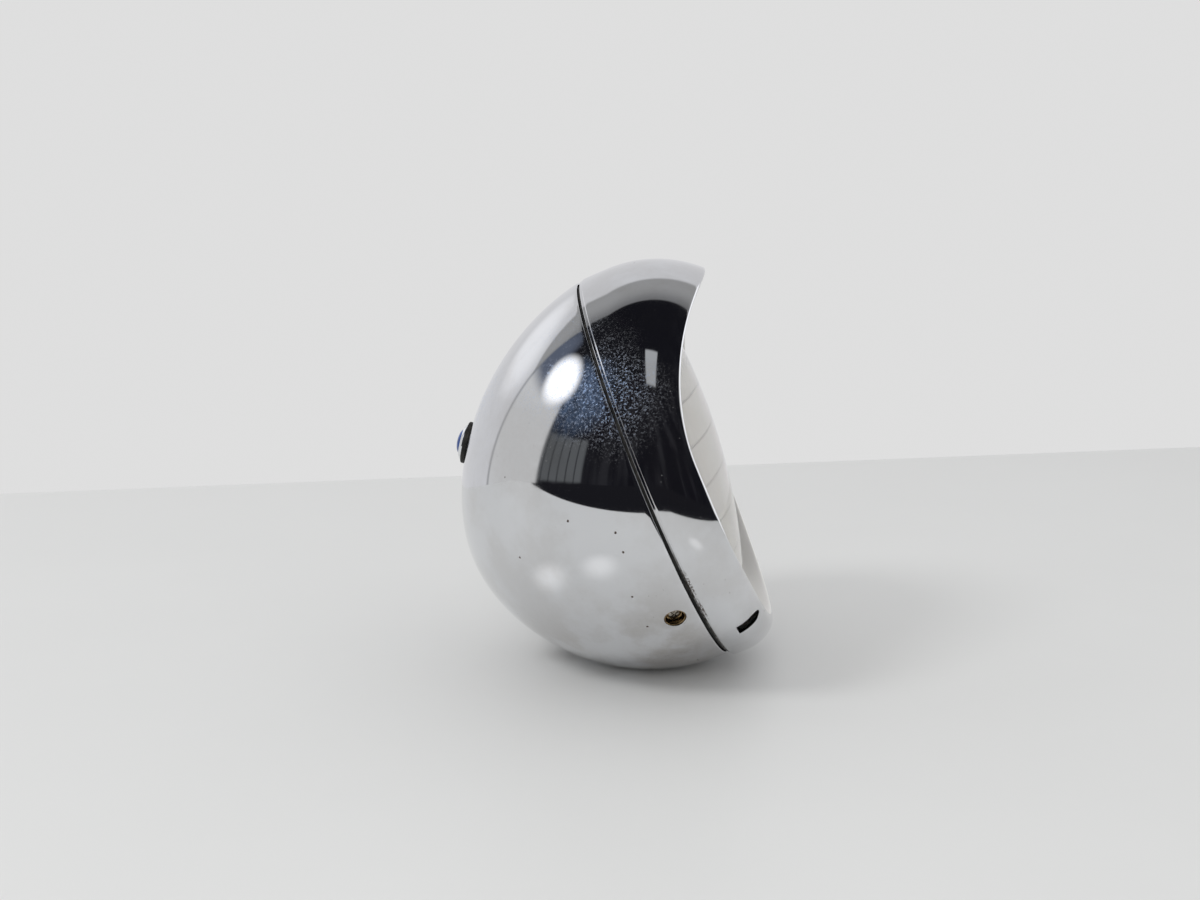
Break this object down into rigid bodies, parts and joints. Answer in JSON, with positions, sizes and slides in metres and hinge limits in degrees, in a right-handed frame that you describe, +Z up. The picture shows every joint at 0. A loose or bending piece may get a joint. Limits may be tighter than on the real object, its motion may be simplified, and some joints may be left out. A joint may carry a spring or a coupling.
{
  "type": "round motorcycle headlight",
  "caption": "Round chrome headlight for a motorcycle, with a hooded rim, a bowl on a bottom bolt seat, a glass lens and a blue beam indicator.",
  "frame": {"origin": "centre of the flat seat under the bowl, where the mounting bolt passes", "axes": "+Z up out of the seat, +X towards the lens, which points forward and up, +Y to the lamp's left"},
  "size_m": [0.1331, 0.1678, 0.1676],
  "materials": {
    "chrome_shell": "polished chrome plate, lightly pitted",
    "bright_metal": "zinc-plated steel",
    "dark_steel": "plain steel, lightly rusted",
    "aged_brass": "tarnished brass",
    "mirror": "vacuum-plated mirror inside",
    "clear_glass": "clear moulded glass, fluted inside",
    "bulb_glass": "clear thin glass",
    "blue_lens": "clear blue",
    "black_rubber": "matt",
    "black_moulding": "moulded, matt"
  },
  "bodies": {
    "root": {"bucket": "chrome_shell", "rim": "chrome_shell", "rim_seal": "black_rubber", "lens": "clear_glass", "lens_seal": "black_rubber", "reflector": "mirror", "retaining_clips": "bright_metal", "rim_top_tab": "dark_steel", "rim_brackets": "dark_steel", "rim_screws": "dark_steel", "rim_screw_cups": "aged_brass", "rim_screw_nuts": "dark_steel", "bulb_base": "bright_metal", "bulb_glass": "bulb_glass", "bulb_shield": "bright_metal", "bulb_filaments": "dark_steel", "bulb_insulator": "black_moulding", "bulb_terminals": "aged_brass", "bulb_spring": "bright_metal", "bulb_boot": "black_rubber", "mount_plate": "dark_steel", "mount_nut": "dark_steel", "wire_grommet": "black_rubber", "indicator_jewel": "blue_lens", "indicator_bezel": "chrome_shell", "indicator_gasket": "black_rubber", "indicator_housing": "bright_metal", "indicator_nut": "bright_metal", "indicator_bulb": "bulb_glass", "indicator_contact": "aged_brass"}
  },
  "joints": []
}
